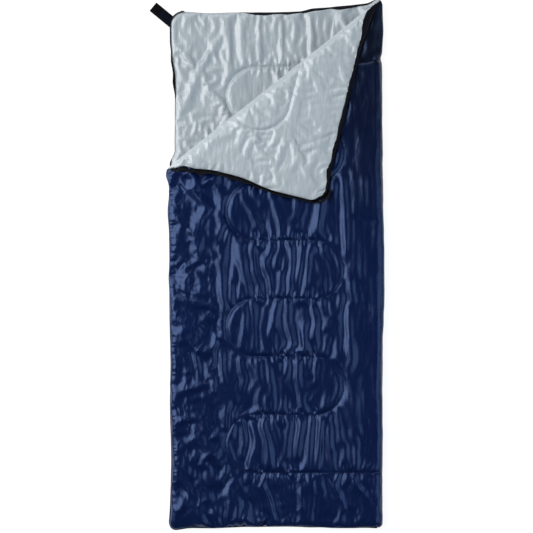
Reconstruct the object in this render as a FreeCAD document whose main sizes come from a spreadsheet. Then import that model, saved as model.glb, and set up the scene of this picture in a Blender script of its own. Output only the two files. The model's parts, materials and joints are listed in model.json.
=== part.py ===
"""Rectangular sleeping bag, lying flat with the head corner of its top panel turned back.

Millimetres, +Z up, +Y towards the head, +X towards the closed long side. The origin is the
middle of the underside. Two quilted panels lie on each other. Along +X the shell fabric folds
from one to the other and works as a hinge; along -X and the foot a coil zip joins them. The
head corner on the zip side is turned back over a diagonal, lining up, and a webbing tab at
that corner of the bottom panel holds the zip shut.
"""

import FreeCAD, Part
import Sketcher
import math
import os

from FreeCAD import Placement, Rotation, Vector

DIMENSIONS = {
    # the bag
    "bag_length": 1800,
    "bag_width": 740,
    "panel_loft": 20,
    "panel_gap": 8,
    "fabric": 0.8,
    "rim_radius": 9.5,
    "head_corner_radius": 45,
    "foot_corner_radius": 30,
    "fold_side_corner_radius": 14,
    "crease_clearance": 0.3,
    # the turned-back corner
    "turn_left_y": 352.5,
    "turn_head_x": 320,
    "turn_clearance": 1.2,
    "turn_gap": 2,
    "turn_corner_radius": 12,
    "turn_fold_inset": 50,
    # quilting
    "quilt_rows": 8,
    "quilt_pitch": 202,
    "quilt_left_x": -175,
    "quilt_right_x": 236,
    "thread_width": 1.2,
    "thread_height": 0.5,
    # zip
    "tape_inset": 0.1,
    "tape_thickness": 0.8,
    "tape_height": 15.5,
    "coil_thickness": 2.2,
    "coil_height": 2.3,
    "coil_gap": 0.2,
    "zip_clearance": 0.1,
    "tape_head_end_x": -325,
    "tape_foot_end_x": 354,
    "coil_head_end_x": -331,
    "coil_foot_end_x": 340,
    "tape_turn_gap": 6,
    "stop_length": 4,
    "end_block_length": 11,
    "zip_fitting_thickness": 3.4,
    # slider and pullers
    "slider_y": 334,
    "slider_length": 18,
    "slider_height": 13,
    "slider_plate": 1.4,
    "slider_inside": 2.8,
    "slider_slot": 1.4,
    "slider_flange": 1.2,
    "post_start_y": 3,
    "post_length": 5,
    "bridge_length": 10,
    "bridge_rise": 3.4,
    "bridge_width": 3,
    "bridge_leg": 1.8,
    "bridge_beam": 1.2,
    "pivot_rise": 1.1,
    "puller_thickness": 1.2,
    "puller_eye_length": 7,
    "puller_eye_width": 3.8,
    "puller_neck_width": 6.8,
    "puller_neck_length": 9,
    "puller_taper": 3,
    "puller_hole_radius": 1.6,
    "outer_puller_width": 9,
    "outer_puller_length": 34,
    "inner_puller_length": 24,
    # hook-and-loop tab
    "tab_angle": 148,
    "tab_width": 38,
    "tab_thickness": 1.4,
    "tab_root_gap": 2,
    "tab_base_length": 40,
    "tab_end_length": 30,
    "patch_margin": 2,
    "patch_thickness": 1,
    "loop_patch_start": -10,
    "loop_patch_end": 31,
    "loop_patch_width": 34,
}

# Levels and lengths that several sub-parts share, as expressions over the sheet.
HALF_WIDTH = "Dims.bag_width / 2"
HALF_LENGTH = "Dims.bag_length / 2"
BOTTOM_LEVEL = "0"
TOP_LEVEL = "(Dims.panel_loft + Dims.panel_gap)"
TOP_SURFACE = "(2 * Dims.panel_loft + Dims.panel_gap)"
CHAIN_LEVEL = "(Dims.panel_loft + Dims.panel_gap / 2)"
CHAIN_OUT = "(Dims.tape_inset + Dims.tape_thickness / 2)"
TURN_LEVEL = f"({TOP_SURFACE} + Dims.turn_gap / 2)"
TURN_RUN = f"(Dims.turn_head_x + {HALF_WIDTH})"
TURN_RISE = f"({HALF_LENGTH} - Dims.turn_left_y)"
TURN_LENGTH = f"sqrt({TURN_RUN} ^ 2 + {TURN_RISE} ^ 2)"

doc = FreeCAD.newDocument("sleeping_bag")
sheet = doc.addObject("Spreadsheet::Sheet", "Dims")
for row, (alias, number) in enumerate(DIMENSIONS.items(), start=1):
    sheet.set(f"A{row}", alias)
    sheet.set(f"B{row}", str(number))
    sheet.setAlias(f"B{row}", alias)
doc.recompute()


def dim(expression):
    """The number that an expression over the sheet gives."""
    return float(sheet.evalExpression(expression))


# ------------------------------------------------------------------- sketches and features


def new_body(name):
    body = doc.addObject("PartDesign::Body", name)
    body.Label = name
    return body


def new_sketch(body, name, level="0", role="XY_Plane"):
    """A sketch on one of the body's own planes, raised along that plane's normal."""
    plane = [feature for feature in body.Origin.OriginFeatures if feature.Role == role][0]
    sketch = body.newObject("Sketcher::SketchObject", name)
    sketch.AttachmentSupport = (plane, "")
    sketch.MapMode = "FlatFace"
    sketch.setExpression("AttachmentOffset.Base.z", level)
    return sketch


def constrain(sketch, *arguments, expression=None):
    if expression is None:
        sketch.addConstraint(Sketcher.Constraint(*arguments))
        return
    index = sketch.addConstraint(Sketcher.Constraint(*arguments, dim(expression)))
    sketch.setExpression(f"Constraints[{index}]", expression)


def place_point(sketch, geometry, end, x, y):
    """Sets a point's distances from the sketch's origin."""
    constrain(sketch, "DistanceX", -1, 1, geometry, end, expression=x)
    constrain(sketch, "DistanceY", -1, 1, geometry, end, expression=y)


def polygon(sketch, corners):
    """A closed loop of straight lines. A corner is (x, y) in expressions."""
    points = [Vector(dim(x), dim(y), 0) for x, y in corners]
    ends = points[1:] + points[:1]
    lines = [sketch.addGeometry(Part.LineSegment(a, b), False) for a, b in zip(points, ends)]
    for line, following in zip(lines, lines[1:] + lines[:1]):
        constrain(sketch, "Coincident", line, 2, following, 1)
    for line, (x, y) in zip(lines, corners):
        place_point(sketch, line, 1, x, y)


def rectangle(sketch, x_range, y_range):
    (x0, x1), (y0, y1) = x_range, y_range
    polygon(sketch, [(x0, y0), (x1, y0), (x1, y1), (x0, y1)])


def corner_cut(before, point, after, radius):
    """Where a rounding of this radius starts, comes nearest to its corner, and ends."""
    back, ahead = (before - point).normalize(), (after - point).normalize()
    half_angle = back.getAngle(ahead) / 2
    middle = (back + ahead).normalize()
    reach = radius / math.tan(half_angle)
    nearest = point + middle * (radius / math.sin(half_angle) - radius)
    return point + back * reach, nearest, point + ahead * reach


def rounded_loop(sketch, corners):
    """A closed loop, anticlockwise, of lines and tangent arcs.

    A corner is (x, y, radius) in expressions. A construction point marks where its two
    lines would meet."""
    points = [Vector(dim(x), dim(y), 0) for x, y, _ in corners]
    befores, afters = points[-1:] + points[:-1], points[1:] + points[:1]
    radii = [dim(radius) for _, _, radius in corners]
    cuts = [corner_cut(*corner) for corner in zip(befores, points, afters, radii)]
    lines = [
        sketch.addGeometry(Part.LineSegment(cut[2], following[0]), False)
        for cut, following in zip(cuts, cuts[1:] + cuts[:1])
    ]
    arcs = [sketch.addGeometry(Part.Arc(*cut), False) for cut in cuts]
    marks = [sketch.addGeometry(Part.Point(point), True) for point in points]
    for index, (x, y, radius) in enumerate(corners):
        before, after, arc, mark = lines[index - 1], lines[index], arcs[index], marks[index]
        constrain(sketch, "Tangent", before, 2, arc, 1)
        constrain(sketch, "Tangent", arc, 2, after, 1)
        constrain(sketch, "PointOnObject", mark, 1, before)
        constrain(sketch, "PointOnObject", mark, 1, after)
        place_point(sketch, mark, 1, x, y)
        constrain(sketch, "Radius", arc, expression=radius)


def pad(body, sketch, length, midplane=False):
    feature = body.newObject("PartDesign::Pad", "Pad")
    feature.Profile = sketch
    feature.Midplane = midplane
    feature.setExpression("Length", length)
    return feature


def pocket_through(body, sketch):
    """Cuts the sketch away through the whole body, both ways."""
    doc.recompute()
    before = body.Shape.Volume
    feature = body.newObject("PartDesign::Pocket", "Pocket")
    feature.Profile = sketch
    feature.Type = "ThroughAll"
    feature.Midplane = True
    doc.recompute()
    assert body.Shape.Volume < before, f"{body.Label}: the pocket cut nothing"


def boolean(kind, name, first, second):
    feature = doc.addObject(kind, name)
    feature.Base = first
    feature.Tool = second
    feature.Label = name
    return feature


def box(name, x_range, y_range, z_range):
    """A box between pairs of expressions."""
    feature = doc.addObject("Part::Box", name)
    feature.Label = name
    ranges = zip(("Length", "Width", "Height"), (x_range, y_range, z_range), "xyz")
    for size, (low, high), axis in ranges:
        feature.setExpression(size, f"({high}) - ({low})")
        feature.setExpression(f"Placement.Base.{axis}", low)
    return feature


# --------------------------------------------------------------------------- quilted panels


def bag_corners(outwards="0"):
    """The whole bag's outline, moved outwards. It starts at the head, on the zip side."""
    half_x, half_y = f"({HALF_WIDTH} + {outwards})", f"({HALF_LENGTH} + {outwards})"
    fold_side_radius = f"Dims.fold_side_corner_radius + {outwards}"
    return [
        (f"-{half_x}", half_y, f"Dims.head_corner_radius + {outwards}"),
        (f"-{half_x}", f"-{half_y}", f"Dims.foot_corner_radius + {outwards}"),
        (half_x, f"-{half_y}", fold_side_radius),
        (half_x, half_y, fold_side_radius),
    ]


def crease_ends(outwards, side):
    """Where a line beside the crease meets the zip side and the head edge.

    The line is turn_clearance from the crease. side is 1 towards the head corner and -1
    towards the foot. outwards moves this line and both edges out of the panel."""
    away = f"{side} * (Dims.turn_clearance - {outwards})"
    radius = f"Dims.turn_corner_radius + {outwards}"
    zip_y = f"Dims.turn_left_y + ({away} * {TURN_LENGTH} - {outwards} * {TURN_RISE}) / {TURN_RUN}"
    head_x = f"Dims.turn_head_x + ({outwards} * {TURN_RUN} - {away} * {TURN_LENGTH}) / {TURN_RISE}"
    on_zip_side = (f"-({HALF_WIDTH} + {outwards})", zip_y, radius)
    return on_zip_side, (head_x, f"{HALF_LENGTH} + {outwards}", radius)


def top_corners(outwards="0"):
    """The top panel without its turned-back corner."""
    zip_end, head_end = crease_ends(outwards, -1)
    return [zip_end, *bag_corners(outwards)[1:], head_end]


def turned_corners(outwards="0"):
    """The corner that is turned back, where it lies when the bag is closed."""
    zip_end, head_end = crease_ends(outwards, 1)
    return [bag_corners(outwards)[0], zip_end, head_end]


def rounded_slab(name, corners, level, height, radius):
    """A flat slab of the outline, with both rims rounded."""
    body = new_body(name)
    sketch = new_sketch(body, name + "_outline", level)
    rounded_loop(sketch, corners)
    slab = pad(body, sketch, height)
    doc.recompute()
    rims = [
        f"Edge{index}"
        for index, edge in enumerate(slab.Shape.Edges, start=1)
        if edge.BoundBox.ZLength < dim("Dims.fabric")
    ]
    rounding = body.newObject("PartDesign::Fillet", name + "_rims")
    rounding.Base = (slab, rims)
    rounding.setExpression("Radius", radius)
    return body


def panel_layers(name, outline, level, shell_is_above):
    """Insulation in a skin of fabric that is cut at mid height into shell and lining."""
    loft, fabric = "Dims.panel_loft", "Dims.fabric"
    blank = rounded_slab(name + "_blank", outline(), level, loft, "Dims.rim_radius")
    insulation = rounded_slab(
        name + "_insulation",
        outline("(-Dims.fabric)"),
        f"{level} + {fabric}",
        f"{loft} - 2 * {fabric}",
        f"Dims.rim_radius - {fabric}",
    )
    skin = boolean("Part::Cut", name + "_skin", blank, insulation)
    middle = f"{level} + {loft} / 2"
    across = ("-Dims.bag_width", "Dims.bag_width")
    along = ("-Dims.bag_length", "Dims.bag_length")
    below = box(name + "_below", across, along, (f"{level} - {loft}", middle))
    above = box(name + "_above", across, along, (middle, f"{level} + 2 * {loft}"))
    shell_side, lining_side = (above, below) if shell_is_above else (below, above)
    shell = boolean("Part::Common", name + "_shell", skin, shell_side)
    lining = boolean("Part::Common", name + "_lining", skin, lining_side)
    return [shell, insulation, lining]


def side_fold(name, z_range):
    """One panel's half of the shell fabric's fold along the closed long side."""
    end = f"({HALF_LENGTH} - Dims.fold_side_corner_radius)"
    return box(name, (HALF_WIDTH, f"{HALF_WIDTH} + Dims.fabric"), (f"-{end}", end), z_range)


def turn_frame():
    """A frame on the turned corner's crease: X along it, Y towards the head corner."""
    angle = math.degrees(math.atan2(dim(TURN_RISE), dim(TURN_RUN)))
    base = Vector(-dim(HALF_WIDTH), dim("Dims.turn_left_y"), dim(TURN_LEVEL))
    return Placement(base, Rotation(Vector(0, 0, 1), angle))


def turned_back():
    """The half turn about the crease that lays the closed corner back over the bag."""
    frame = turn_frame()
    half_turn = Placement(Vector(), Rotation(Vector(1, 0, 0), 180))
    return frame * half_turn * frame.inverse()


def turn_fold(name, towards_corner):
    """One side's half of the lining's fold over the crease, as it is when the bag is closed."""
    body = new_body(name)
    lowest = f"{TOP_LEVEL} + Dims.rim_radius - {TURN_LEVEL}"
    sketch = new_sketch(body, name + "_plan", lowest)
    near, far = "(Dims.turn_clearance - Dims.fabric)", "Dims.turn_clearance"
    across = (near, far) if towards_corner else (f"-{far}", f"-{near}")
    along = ("Dims.turn_fold_inset", f"{TURN_LENGTH} - Dims.turn_fold_inset")
    rectangle(sketch, along, across)
    pad(body, sketch, f"-({lowest}) - Dims.crease_clearance")
    body.Placement = turn_frame()
    return body


# ------------------------------------------------------------------------- quilting thread


def thread_row(y, x_range, level):
    """A straight run of stitching along X."""
    width, height = dim("Dims.thread_width"), dim("Dims.thread_height")
    corner = Vector(x_range[0], y - width / 2, level)
    return Part.makeBox(x_range[1] - x_range[0], width, height, corner)


def thread_turn(x, y, towards_left, level):
    """A half turn of stitching from the row below y to the row above it."""
    radius, width = dim("Dims.quilt_pitch / 2"), dim("Dims.thread_width")
    height, centre, up = dim("Dims.thread_height"), Vector(x, y, level), Vector(0, 0, 1)
    outside, inside = (
        Part.makeCylinder(radius + side * width / 2, height, centre, up, 180) for side in (1, -1)
    )
    turn = outside.cut(inside)
    turn.rotate(centre, up, 90 if towards_left else -90)
    return turn


def serpentine(level):
    """One unbroken line of stitching over the whole bag: rows joined by half turns.

    It comes in over the closed long side at the foot and leaves over it at the head."""
    rows, pitch = round(dim("Dims.quilt_rows")), dim("Dims.quilt_pitch")
    left = dim("Dims.quilt_left_x + Dims.quilt_pitch / 2")
    right = dim("Dims.quilt_right_x - Dims.quilt_pitch / 2")
    pieces = []
    for row in range(rows):
        y = pitch * (row - (rows - 1) / 2)
        crosses_side = row in (0, rows - 1)
        end = dim(HALF_WIDTH) if crosses_side else right
        pieces.append(thread_row(y, (left, end), level))
        if row < rows - 1:
            towards_left = row % 2 == 0
            middle = y + pitch / 2
            pieces.append(thread_turn(left if towards_left else right, middle, towards_left, level))
    return pieces[0].multiFuse(pieces[1:])


OFFSET_TOLERANCE = 1e-3


def quilting_thread(name, levels, corners):
    """The stitching on a panel's faces, as far as the panel is flat."""
    field = new_body(name + "_field")
    sketch = new_sketch(field, name + "_field_outline", BOTTOM_LEVEL)
    rounded_loop(sketch, corners)
    pad(field, sketch, f"2 * {TOP_SURFACE}")
    doc.recompute()
    flat = field.Shape.makeOffsetShape(-dim("Dims.rim_radius"), OFFSET_TOLERANCE)
    lines = [serpentine(dim(level)).common(flat) for level in levels]
    thread = doc.addObject("Part::Feature", name)
    thread.Label = name
    thread.Shape = Part.makeCompound([solid for line in lines for solid in line.Solids])
    return thread


# --------------------------------------------------------------------------------------- zip

TAPE_SIDES = ("Dims.tape_inset", "(Dims.tape_inset + Dims.tape_thickness)")
COIL_SIDES = tuple(f"({CHAIN_OUT} {sign} Dims.coil_thickness / 2)" for sign in "-+")
LOWER_COIL = f"({CHAIN_LEVEL} - Dims.coil_gap / 2 - Dims.coil_height)"
UPPER_COIL = f"({CHAIN_LEVEL} + Dims.coil_gap / 2)"
LOWER_TAPE = f"({LOWER_COIL} - Dims.zip_clearance - Dims.tape_height)"
UPPER_TAPE = f"({UPPER_COIL} + Dims.coil_height + Dims.zip_clearance)"
CHAIN_X = f"(-{HALF_WIDTH} - {CHAIN_OUT})"
FAR_X, FAR_Y = "Dims.bag_width", "Dims.bag_length"
ABOVE_FOOT = f"(2 * Dims.foot_corner_radius - {HALF_LENGTH})"


def beyond_zip(head_x, foot_x):
    """What the zip leaves free: all but the zip side, its corners and the foot."""
    return [
        (head_x, FAR_Y),
        (head_x, ABOVE_FOOT),
        (foot_x, ABOVE_FOOT),
        (foot_x, f"-{FAR_Y}"),
        (FAR_X, f"-{FAR_Y}"),
        (FAR_X, FAR_Y),
    ]


def beyond_closed_part(head_y, head_x, foot_x):
    """What the closed part of the zip leaves free: all above head_y as well."""
    side = [(f"-{FAR_X}", FAR_Y), (f"-{FAR_X}", head_y), (head_x, head_y)]
    return side + beyond_zip(head_x, foot_x)[1:]


def beyond_turned_part(foot_y, head_x):
    """What the turned corner's zip leaves free: all but the zip side above foot_y."""
    side = [(head_x, FAR_Y), (head_x, foot_y), (f"-{FAR_X}", foot_y)]
    return side + [(f"-{FAR_X}", f"-{FAR_Y}"), (FAR_X, f"-{FAR_Y}"), (FAR_X, FAR_Y)]


def zip_strip(name, sides, level, height, free):
    """A strip that stands on edge round the bag, less the part of its length in free."""
    body = new_body(name)
    ring = new_sketch(body, name + "_ring", level)
    for side in sides:
        rounded_loop(ring, bag_corners(side))
    pad(body, ring, height)
    ends = new_sketch(body, name + "_ends", level)
    polygon(ends, free)
    pocket_through(body, ends)
    return body


def zip_tape(name, level, free):
    return zip_strip(name, TAPE_SIDES, level, "Dims.tape_height", free)


def zip_coil(name, level, free):
    return zip_strip(name, COIL_SIDES, level, "Dims.coil_height", free)


def zip_fitting(name, start_x, length, edge_sign, level):
    """A stop or end block, in line with the coil. edge_sign is 1 at the head, -1 at the foot."""
    middle = f"({edge_sign} * ({HALF_LENGTH} + {CHAIN_OUT}))"
    half = "Dims.zip_fitting_thickness / 2"
    x_range = (start_x, f"{start_x} + {length}")
    y_range = (f"{middle} - {half}", f"{middle} + {half}")
    return box(name, x_range, y_range, (level, f"{level} + Dims.coil_height"))


def head_stop(name, level):
    return zip_fitting(name, "Dims.coil_head_end_x + Dims.zip_clearance", "Dims.stop_length", 1, level)


def end_block(name, level):
    start = "Dims.coil_foot_end_x + Dims.zip_clearance"
    return zip_fitting(name, start, "Dims.end_block_length", -1, level)


# ------------------------------------------------------------------------ slider and pullers

PLATE_FACE = "(Dims.slider_inside / 2 + Dims.slider_plate)"


def slider_plates():
    """The outer and the inner plate, each with a flange along its upper and lower edge."""
    body = new_body("slider_plates")
    sketch = new_sketch(body, "slider_section", "0", "XZ_Plane")
    edge, shoulder = "Dims.slider_height / 2", "(Dims.slider_height / 2 - Dims.slider_flange)"
    slot, inside = "(Dims.slider_slot / 2)", "(Dims.slider_inside / 2)"
    for sign in ("", "-"):
        polygon(sketch, [
            (sign + PLATE_FACE, f"-{edge}"),
            (sign + slot, f"-{edge}"),
            (sign + slot, f"-{shoulder}"),
            (sign + inside, f"-{shoulder}"),
            (sign + inside, shoulder),
            (sign + slot, shoulder),
            (sign + slot, edge),
            (sign + PLATE_FACE, edge),
        ])
    pad(body, sketch, "Dims.slider_length", midplane=True)
    return body


def slider_bridge(name, sign):
    """The arch on a plate that a puller hangs on."""
    body = new_body(name)
    sketch = new_sketch(body, name + "_side")
    top = f"({PLATE_FACE} + Dims.bridge_rise)"
    under = f"({top} - Dims.bridge_beam)"
    outer, inner = "Dims.bridge_length / 2", "(Dims.bridge_length / 2 - Dims.bridge_leg)"
    shoulder = "(Dims.bridge_length / 2 - Dims.bridge_beam)"
    polygon(sketch, [
        (sign + PLATE_FACE, f"-{outer}"),
        (sign + top, f"-{shoulder}"),
        (sign + top, shoulder),
        (sign + PLATE_FACE, outer),
        (sign + PLATE_FACE, inner),
        (sign + under, inner),
        (sign + under, f"-{inner}"),
        (sign + PLATE_FACE, f"-{inner}"),
    ])
    pad(body, sketch, "Dims.bridge_width", midplane=True)
    return body


def zip_slider():
    """The slider: two plates, the post that parts the coils, and a bridge on each plate.

    The post is in the upper coil's place, just past the end of the closed chain."""
    half_inside = "Dims.slider_inside / 2"
    post_y = ("Dims.post_start_y", "Dims.post_start_y + Dims.post_length")
    post_z = ("Dims.coil_gap / 2", "Dims.coil_gap / 2 + Dims.coil_height")
    post = box("slider_post", (f"-{half_inside}", half_inside), post_y, post_z)
    slider = doc.addObject("Part::MultiFuse", "zip_slider")
    bridges = [slider_bridge("outer_bridge", "-"), slider_bridge("inner_bridge", "")]
    slider.Shapes = [slider_plates(), post, *bridges]
    slider.Label = "zip_slider"
    slider.Placement = Placement(slider_origin(), Rotation())
    return slider


def slider_origin():
    return Vector(dim(CHAIN_X), dim("Dims.slider_y"), dim(CHAIN_LEVEL))


def puller(name, length, width, outwards):
    """A flat puller that lies along the chain, with an eye round the slider's bridge."""
    body = new_body(name)
    sketch = new_sketch(body, name + "_plan", "0", "YZ_Plane")
    half_bar, half_eye = "Dims.puller_thickness / 2", "Dims.puller_eye_width / 2"
    half_neck, half_width = "Dims.puller_neck_width / 2", f"{width} / 2"
    neck_end = "(-Dims.puller_neck_length)"
    wide_from = f"({neck_end} - Dims.puller_taper)"
    wide_to, tip = f"(Dims.puller_taper - {length})", f"(-{length})"
    half_tip = f"({half_width} - Dims.puller_taper / 2)"
    polygon(sketch, [
        (half_bar, f"-{half_neck}"),
        (half_bar, half_neck),
        (neck_end, half_neck),
        (wide_from, half_width),
        (wide_to, half_width),
        (tip, half_tip),
        (tip, f"-{half_tip}"),
        (wide_to, f"-{half_width}"),
        (wide_from, f"-{half_width}"),
        (neck_end, f"-{half_neck}"),
    ])
    rectangle(sketch, ("-Dims.puller_eye_length", f"-{half_bar}"), (f"-{half_eye}", half_eye))
    hole_x, hole_radius = f"Dims.puller_taper * 1.5 - {length}", "Dims.puller_hole_radius"
    round_hole = Part.Circle(Vector(dim(hole_x), 0, 0), Vector(0, 0, 1), dim(hole_radius))
    hole = sketch.addGeometry(round_hole, False)
    constrain(sketch, "Radius", hole, expression=hole_radius)
    place_point(sketch, hole, 3, hole_x, "0")
    pad(body, sketch, "Dims.puller_thickness", midplane=True)
    side = -1 if outwards else 1
    reach = side * dim(f"{PLATE_FACE} + Dims.pivot_rise")
    body.Placement = Placement(slider_origin() + Vector(reach, 0, 0), Rotation())
    return body


# ------------------------------------------------------------------------ hook-and-loop tab


def tab_frame(level):
    """A frame at the head corner's centre: X along the tab, away from the bag."""
    centre_x = -dim(f"{HALF_WIDTH} - Dims.head_corner_radius")
    centre_y = dim(f"{HALF_LENGTH} - Dims.head_corner_radius")
    turn = Rotation(Vector(0, 0, 1), dim("Dims.tab_angle"))
    return Placement(Vector(centre_x, centre_y, dim(level)), turn)


ROOT_CREASE = "(Dims.head_corner_radius + Dims.tab_root_gap)"
MIDDLE_CREASE = f"({ROOT_CREASE} + Dims.tab_base_length)"
TAB_SEAM = "(Dims.panel_loft / 2)"


def tab_piece(name, start, end, width, z_range, level=TAB_SEAM):
    """A flat piece along the tab between two distances from the corner's centre."""
    body = new_body(name)
    sketch = new_sketch(body, name + "_plan", z_range[0])
    rectangle(sketch, (start, end), (f"-{width} / 2", f"{width} / 2"))
    pad(body, sketch, f"{z_range[1]} - ({z_range[0]})")
    body.Placement = tab_frame(level)
    return body


WEBBING_Z = ("-Dims.tab_thickness / 2", "Dims.tab_thickness / 2")


def tab_sewn_end():
    """The webbing between the corner's zip tape, where it is sewn on, and the root crease."""
    start = "(Dims.head_corner_radius - Dims.tab_width / 4)"
    end = f"{ROOT_CREASE} - Dims.crease_clearance"
    strip = tab_piece("tab_sewn_strip", start, end, "Dims.tab_width", WEBBING_Z)
    corner = doc.addObject("Part::Cylinder", "tab_corner_edge")
    corner.setExpression("Radius", f"Dims.head_corner_radius + {TAPE_SIDES[1]}")
    corner.setExpression("Height", "Dims.panel_loft")
    corner.Placement = tab_frame("0")
    return boolean("Part::Cut", "tab_sewn_end", strip, corner)


def tab_base():
    start = f"{ROOT_CREASE} + Dims.crease_clearance"
    end = f"{MIDDLE_CREASE} - Dims.crease_clearance"
    return tab_piece("tab_base", start, end, "Dims.tab_width", WEBBING_Z)


def tab_end():
    start = f"{MIDDLE_CREASE} + Dims.crease_clearance"
    end = f"{MIDDLE_CREASE} + Dims.tab_end_length"
    return tab_piece("tab_end", start, end, "Dims.tab_width", WEBBING_Z)


def hook_patch():
    start = f"{MIDDLE_CREASE} + Dims.patch_margin"
    end = f"{MIDDLE_CREASE} + Dims.tab_end_length - Dims.patch_margin"
    width = "(Dims.tab_width - 2 * Dims.patch_margin)"
    z_range = (WEBBING_Z[1], f"{WEBBING_Z[1]} + Dims.patch_thickness")
    return tab_piece("hook_patch", start, end, width, z_range)


def loop_patch():
    """The patch that the tab closes on, on the turned corner's shell."""
    ends = ("Dims.loop_patch_start", "Dims.loop_patch_end")
    z_range = ("0", "Dims.patch_thickness")
    return tab_piece("loop_patch", *ends, "Dims.loop_patch_width", z_range, TOP_SURFACE)


# ---------------------------------------------------------------------------------- assembly


def bottom_parts():
    lining_face = "Dims.panel_loft"
    fold_z = ("Dims.rim_radius", f"{CHAIN_LEVEL} - Dims.crease_clearance")
    tape_free = beyond_zip("Dims.tape_head_end_x", "Dims.tape_foot_end_x")
    coil_free = beyond_zip("Dims.coil_head_end_x", "Dims.coil_foot_end_x")
    return panel_layers("bottom", bag_corners, BOTTOM_LEVEL, shell_is_above=False) + [
        quilting_thread("bottom_quilting_thread", [lining_face], bag_corners()),
        side_fold("side_fold_bottom", fold_z),
        zip_tape("zip_tape_bottom", LOWER_TAPE, tape_free),
        zip_coil("zip_coil_bottom", LOWER_COIL, coil_free),
        head_stop("zip_stop_bottom", LOWER_COIL),
        end_block("zip_box", LOWER_COIL),
        tab_sewn_end(),
    ]


def top_parts():
    faces = [TOP_SURFACE, f"{TOP_LEVEL} - Dims.thread_height"]
    fold_top = f"{TOP_LEVEL} + Dims.panel_loft - Dims.rim_radius"
    fold_z = (f"{CHAIN_LEVEL} + Dims.crease_clearance", fold_top)
    tape_y = "(Dims.turn_left_y - Dims.tape_turn_gap)"
    coil_y = "(Dims.slider_y + Dims.post_start_y - Dims.crease_clearance)"
    tape_free = beyond_closed_part(tape_y, "Dims.tape_head_end_x", "Dims.tape_foot_end_x")
    coil_free = beyond_closed_part(coil_y, "Dims.coil_head_end_x", "Dims.coil_foot_end_x")
    return panel_layers("top", top_corners, TOP_LEVEL, shell_is_above=True) + [
        quilting_thread("top_quilting_thread", faces, top_corners()),
        side_fold("side_fold_top", fold_z),
        turn_fold("turn_fold_top", towards_corner=False),
        zip_tape("zip_tape_top", UPPER_TAPE, tape_free),
        zip_coil("zip_coil_top", UPPER_COIL, coil_free),
        end_block("zip_pin", UPPER_COIL),
    ]


def turned_corner_parts():
    """All that turns back with the corner: made where it closes, then laid back."""
    faces = [TOP_SURFACE, f"{TOP_LEVEL} - Dims.thread_height"]
    foot_y = "(Dims.turn_left_y + Dims.tape_turn_gap)"
    tape_free = beyond_turned_part(foot_y, "Dims.tape_head_end_x")
    coil_free = beyond_turned_part(foot_y, "Dims.coil_head_end_x")
    parts = panel_layers("corner", turned_corners, TOP_LEVEL, shell_is_above=True) + [
        quilting_thread("corner_quilting_thread", faces, turned_corners()),
        turn_fold("turn_fold_corner", towards_corner=True),
        zip_tape("zip_tape_corner", UPPER_TAPE, tape_free),
        zip_coil("zip_coil_corner", UPPER_COIL, coil_free),
        head_stop("zip_stop_corner", UPPER_COIL),
        loop_patch(),
    ]
    return parts


def main():
    corner = turned_corner_parts()
    parts = bottom_parts() + top_parts() + corner + [
        zip_slider(),
        puller("outer_puller", "Dims.outer_puller_length", "Dims.outer_puller_width", True),
        puller("inner_puller", "Dims.inner_puller_length", "Dims.puller_neck_width", False),
        tab_base(),
        tab_end(),
        hook_patch(),
    ]
    doc.recompute()
    finished = [(part.Label, part.Shape.copy()) for part in parts]
    turn = turned_back()
    turned = {part.Label for part in corner}
    for feature in doc.Objects:
        assert not {"Invalid", "Error"} & set(feature.State), f"{feature.Label}: {feature.State}"
    os.makedirs("parts", exist_ok=True)
    for label, shape in finished:
        if label in turned:
            shape.Placement = turn * shape.Placement
        assert not shape.isNull() and shape.isValid(), f"{label}: not a valid shape"
        shape.exportStep(f"parts/{label}.step")


main()
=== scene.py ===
"""Looks of the rectangular sleeping bag: quilted satin, zip, tab, floor, light and camera.

Metres, in the CAD model's frame: +Z up, +Y towards the head, +X towards the closed long
side. Each panel is made as it lies when the bag is closed. The head corner of the top panel
is then cut off along its crease and turned over, as it rests.
"""

import json
import math

import bmesh
import bpy
import numpy as np
from mathutils import Matrix, Vector


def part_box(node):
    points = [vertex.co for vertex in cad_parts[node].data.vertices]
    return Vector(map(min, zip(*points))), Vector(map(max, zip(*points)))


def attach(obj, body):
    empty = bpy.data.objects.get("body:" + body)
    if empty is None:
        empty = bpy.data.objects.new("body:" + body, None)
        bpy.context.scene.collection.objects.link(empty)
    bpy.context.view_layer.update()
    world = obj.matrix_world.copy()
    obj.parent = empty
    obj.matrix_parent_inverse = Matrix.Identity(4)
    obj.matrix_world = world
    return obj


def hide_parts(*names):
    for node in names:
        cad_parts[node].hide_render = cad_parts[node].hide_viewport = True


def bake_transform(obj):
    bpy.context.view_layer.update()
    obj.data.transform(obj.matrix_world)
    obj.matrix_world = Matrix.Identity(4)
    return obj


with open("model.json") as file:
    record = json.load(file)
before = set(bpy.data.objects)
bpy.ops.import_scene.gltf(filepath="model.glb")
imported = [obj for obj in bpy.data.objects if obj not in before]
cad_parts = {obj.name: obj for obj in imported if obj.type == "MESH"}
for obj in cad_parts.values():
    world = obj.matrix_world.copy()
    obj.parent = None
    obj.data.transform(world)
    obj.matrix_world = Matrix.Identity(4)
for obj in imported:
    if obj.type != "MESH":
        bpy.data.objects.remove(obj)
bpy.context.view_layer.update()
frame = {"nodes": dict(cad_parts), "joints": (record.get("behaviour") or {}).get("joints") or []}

# -------- sizes from the frame


def levels(name):
    """A CAD node's lowest and highest z."""
    low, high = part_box(name)
    return low.z, high.z


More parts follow.
